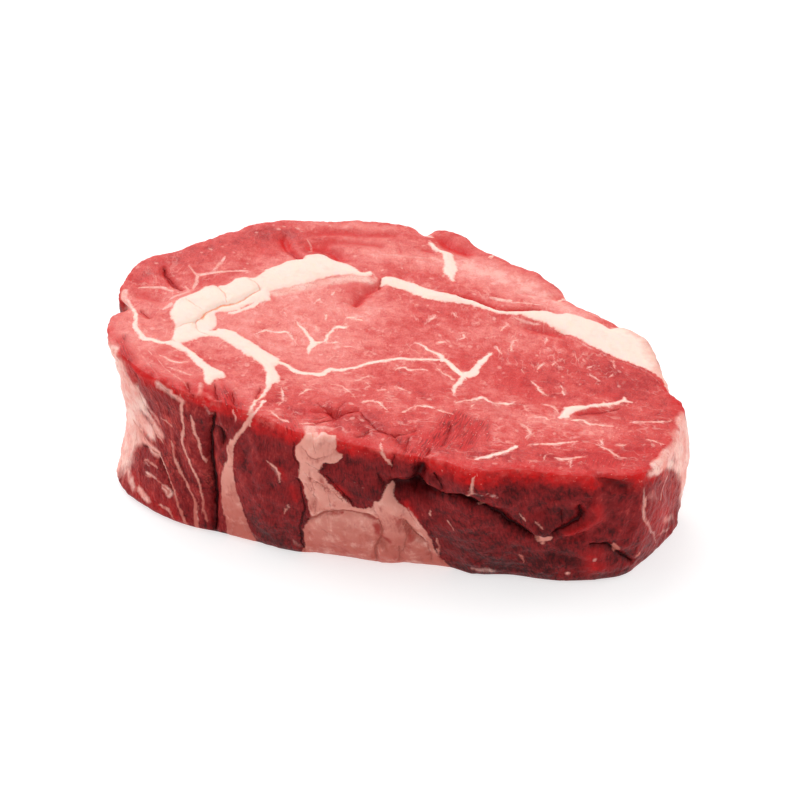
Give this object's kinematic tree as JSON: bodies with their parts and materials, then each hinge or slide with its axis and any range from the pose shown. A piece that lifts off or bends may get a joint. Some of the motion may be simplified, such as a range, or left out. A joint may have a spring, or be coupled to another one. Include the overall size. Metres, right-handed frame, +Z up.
{
  "type": "raw ribeye steak",
  "caption": "Thick boneless slice of raw beef rib with a marbled eye muscle, a cap muscle and pale fat seams, lying on its flat lower cut face.",
  "frame": {"origin": "under the middle of the slice's box, on the surface that it rests on", "axes": "+X along the longer side of the box, towards the thinner end of the slice; +Z up, out of the upper cut face"},
  "size_m": [0.1706, 0.1344, 0.0508],
  "materials": {
    "raw_beef": "moist red lean beef with cream fat seams and fine marbling",
    "beef_fat": "smooth cream to salmon beef fat, slightly greasy"
  },
  "bodies": {
    "root": {"steak": "raw_beef"}
  },
  "joints": []
}
